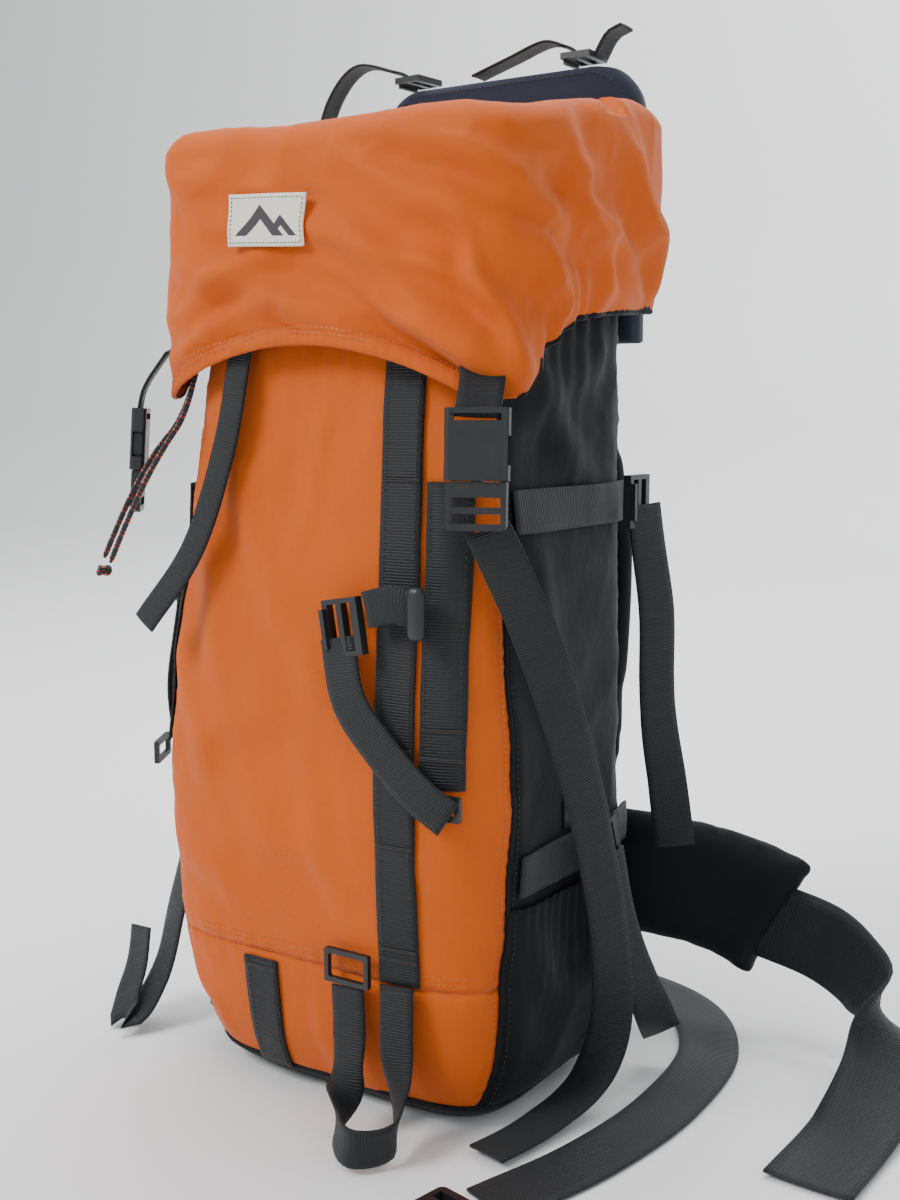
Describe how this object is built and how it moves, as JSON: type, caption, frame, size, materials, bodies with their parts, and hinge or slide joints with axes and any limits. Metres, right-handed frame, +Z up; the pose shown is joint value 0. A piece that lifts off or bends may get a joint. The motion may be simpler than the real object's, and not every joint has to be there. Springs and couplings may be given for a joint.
{
  "type": "climbing backpack",
  "caption": "Slim alpine climbing backpack with a draped lid, compression straps, ice-axe loops and padded harness, standing on its base.",
  "frame": {"origin": "centre line of the base's underside, where the pack stands", "axes": "+Z up through the lid, -Y towards the front panel, +X to the wearer's right as seen from the front"},
  "size_m": [0.5511, 0.4447, 0.6503],
  "materials": {
    "orange_nylon": "matt woven nylon",
    "navy_nylon": "matt woven nylon",
    "black_nylon": "matt coated nylon",
    "charcoal_webbing": "ribbed polyamide webbing",
    "black_acetal": "satin moulded",
    "aluminium_stay": "satin",
    "zip_metal": "dark coated",
    "woven_patch": "woven",
    "flecked_cord": "braided with red tracer",
    "padded_foam": "fabric-covered foam"
  },
  "bodies": {
    "pack": {"anchor_rings": "black_acetal", "axe_holder_lock": "black_acetal", "axe_holder_strap": "charcoal_webbing", "axe_loop_ring": "black_acetal", "back_pad": "navy_nylon", "back_panel": "navy_nylon", "base_panel": "black_nylon", "belt_buckle_plug": "black_acetal", "daisy_chain": "charcoal_webbing", "drawcord_front": "flecked_cord", "drawcord_knot": "flecked_cord", "drawcord_rear": "flecked_cord", "frame_stays": "aluminium_stay", "front_lower_panel": "orange_nylon", "front_panel": "orange_nylon", "ice_axe_loop": "charcoal_webbing", "left_belt_webbing": "charcoal_webbing", "left_hip_fin": "padded_foam", "left_lid_strap": "charcoal_webbing", "left_lower_lock": "black_acetal", "left_lower_strap": "charcoal_webbing", "left_side_panel": "black_nylon", "left_side_pocket": "black_nylon", "left_upper_lock": "black_acetal", "left_upper_strap": "charcoal_webbing", "lifter_locks": "black_acetal", "lifter_straps": "charcoal_webbing", "right_lid_strap": "charcoal_webbing", "right_lower_lock": "black_acetal", "right_lower_strap": "charcoal_webbing", "right_side_panel": "black_nylon", "right_side_pocket": "black_nylon", "right_upper_lock": "black_acetal", "right_upper_strap": "charcoal_webbing", "rope_strap": "charcoal_webbing", "side_tag": "charcoal_webbing", "snow_collar": "navy_nylon", "spare_axe_loop": "charcoal_webbing", "yoke": "navy_nylon"},
    "lid": {"lid_shell": "orange_nylon", "lid_liner": "navy_nylon", "lid_patch": "woven_patch", "lid_zip": "black_acetal", "lid_tabs": "charcoal_webbing", "left_buckle_socket": "black_acetal", "right_buckle_socket": "black_acetal"},
    "zip_slider": {"lid_zip_slider": "zip_metal"},
    "haul_loop": {"haul_loop": "charcoal_webbing"},
    "left_shoulder": {"left_shoulder_strap": "padded_foam"},
    "right_shoulder": {"right_shoulder_strap": "padded_foam"},
    "right_hip": {"right_hip_fin": "padded_foam", "right_belt_webbing": "charcoal_webbing"},
    "belt_socket": {"belt_buckle_socket": "black_acetal"},
    "left_plug": {"left_buckle_plug": "black_acetal"},
    "left_arm_inner": {"left_plug_arm_inner": "black_acetal"},
    "left_arm_outer": {"left_plug_arm_outer": "black_acetal"},
    "right_plug": {"right_buckle_plug": "black_acetal"},
    "right_arm_inner": {"right_plug_arm_inner": "black_acetal"},
    "right_arm_outer": {"right_plug_arm_outer": "black_acetal"}
  },
  "joints": [
    {"name": "lid_hinge", "type": "hinge", "parent": "pack", "child": "lid", "pos_m": [0, 0.093, 0.574], "axis": [-1, 0, 0], "range_deg": [0, 90]},
    {"name": "lid_zip_slide", "type": "slide", "parent": "lid", "child": "zip_slider", "axis": [1, 0, 0], "range_m": [-0.034, 0]},
    {"name": "left_buckle_release", "type": "slide", "parent": "lid", "child": "left_plug", "axis": [-0.0534, -0.0448, -0.9976], "range_m": [0, 0.026]},
    {"name": "left_arm_inner_squeeze", "type": "hinge", "parent": "left_plug", "child": "left_arm_inner", "pos_m": [-0.15321, -0.09843, 0.3738], "axis": [0.7642, 0.6412, -0.0698], "range_deg": [0, 7], "stiffness_Nm_per_rad": 0.05},
    {"name": "left_arm_outer_squeeze", "type": "hinge", "parent": "left_plug", "child": "left_arm_outer", "pos_m": [-0.13881, -0.11559, 0.3738], "axis": [0.7642, 0.6412, -0.0698], "range_deg": [-7, 0], "stiffness_Nm_per_rad": 0.05},
    {"name": "right_buckle_release", "type": "slide", "parent": "lid", "child": "right_plug", "axis": [0.0239, -0.0656, -0.9976], "range_m": [0, 0.026]},
    {"name": "right_arm_inner_squeeze", "type": "hinge", "parent": "right_plug", "child": "right_arm_inner", "pos_m": [0.09748, -0.12684, 0.3738], "axis": [-0.3412, 0.9374, -0.0698], "range_deg": [0, 7], "stiffness_Nm_per_rad": 0.05},
    {"name": "right_arm_outer_squeeze", "type": "hinge", "parent": "right_plug", "child": "right_arm_outer", "pos_m": [0.11853, -0.11918, 0.3738], "axis": [-0.3412, 0.9374, -0.0698], "range_deg": [-7, 0], "stiffness_Nm_per_rad": 0.05},
    {"name": "haul_loop_flip", "type": "hinge", "parent": "pack", "child": "haul_loop", "pos_m": [-0.008, 0.112, 0.558], "axis": [1, 0, 0], "range_deg": [0, 60]},
    {"name": "left_shoulder_swing", "type": "hinge", "parent": "pack", "child": "left_shoulder", "pos_m": [-0.05, 0.109, 0.442], "axis": [1, 0, 0], "range_deg": [0, 50]},
    {"name": "right_shoulder_swing", "type": "hinge", "parent": "pack", "child": "right_shoulder", "pos_m": [0.034, 0.109, 0.442], "axis": [1, 0, 0], "range_deg": [0, 50]},
    {"name": "right_hip_swing", "type": "hinge", "parent": "pack", "child": "right_hip", "pos_m": [0.07, 0.101, 0.1], "axis": [0, 0, 1], "range_deg": [0, 40]},
    {"name": "belt_buckle_release", "type": "slide", "parent": "pack", "child": "belt_socket", "axis": [-0.2079, -0.9781, 0], "range_m": [0, 0.036]}
  ],
  "couplings": [
    {"joint": "left_arm_inner_squeeze", "follows": "left_arm_outer_squeeze", "ratio": -1},
    {"joint": "right_arm_inner_squeeze", "follows": "right_arm_outer_squeeze", "ratio": -1}
  ]
}
